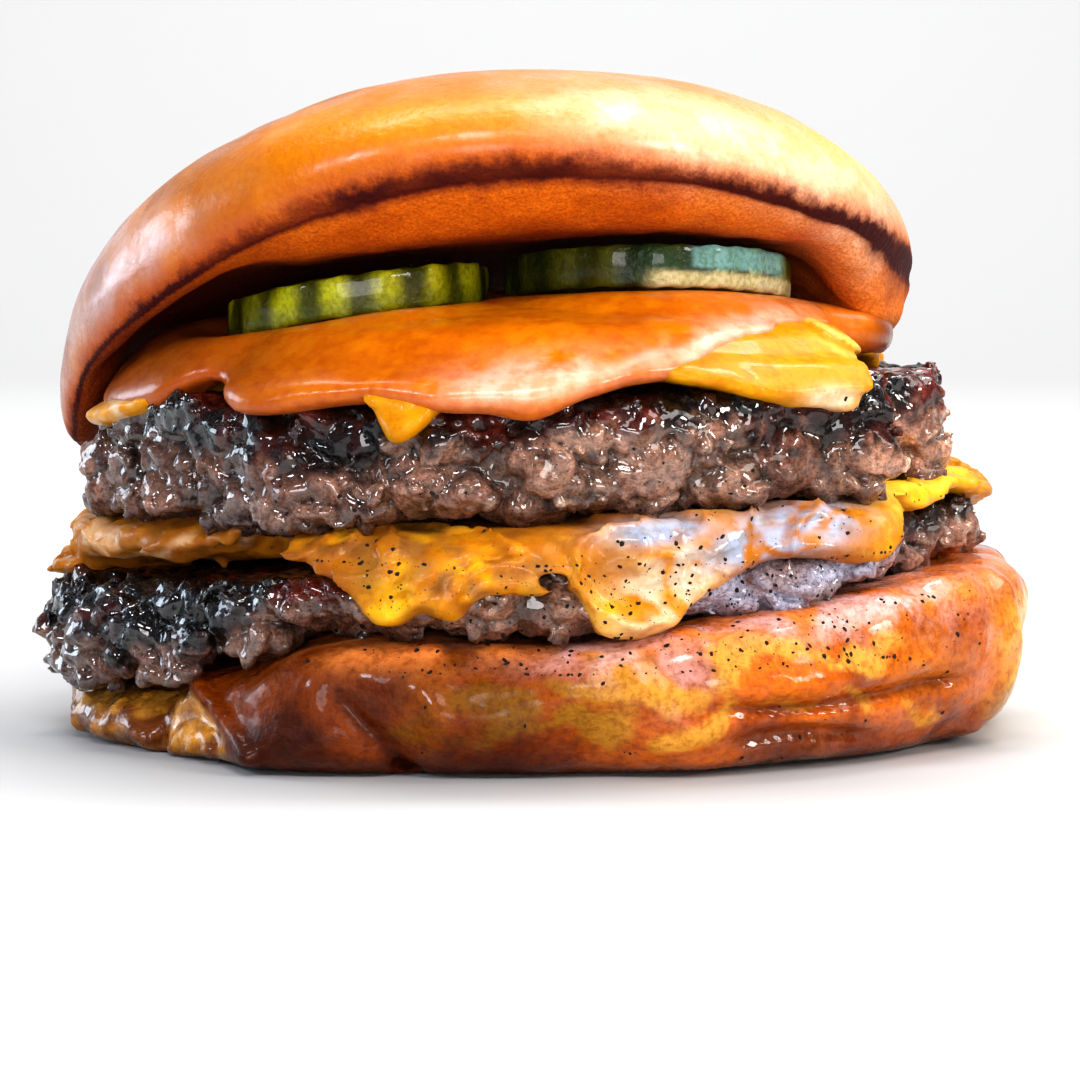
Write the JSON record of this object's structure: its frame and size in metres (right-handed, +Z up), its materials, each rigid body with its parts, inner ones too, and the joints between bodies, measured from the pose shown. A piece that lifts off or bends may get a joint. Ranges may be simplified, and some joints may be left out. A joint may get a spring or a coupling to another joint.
{
  "type": "double cheeseburger",
  "caption": "Double cheeseburger in a soft bun, with seared beef patties, melted yellow cheese, orange sauce and crinkled pickle slices showing in front.",
  "frame": {"origin": "on the flat underside of the bottom bun, under the middle of the burger", "axes": "+Z up through the layers; -Y towards the open front, where the pickles and the drips of cheese show; +X to the right seen from the front"},
  "size_m": [0.1147, 0.1068, 0.076],
  "materials": {
    "bun_heel": "satin",
    "patty_lower": "satin",
    "cheese_lower": "gloss",
    "patty_upper": "satin",
    "cheese_upper": "gloss",
    "sauce": "gloss",
    "pickle_left": "gloss",
    "pickle_right": "gloss",
    "bun_crown": "satin"
  },
  "bodies": {
    "root": {"bun_heel": "bun_heel", "patty_lower": "patty_lower", "cheese_lower": "cheese_lower", "patty_upper": "patty_upper", "cheese_upper": "cheese_upper", "sauce": "sauce", "pickle_left": "pickle_left", "pickle_right": "pickle_right", "bun_crown": "bun_crown"}
  },
  "joints": []
}
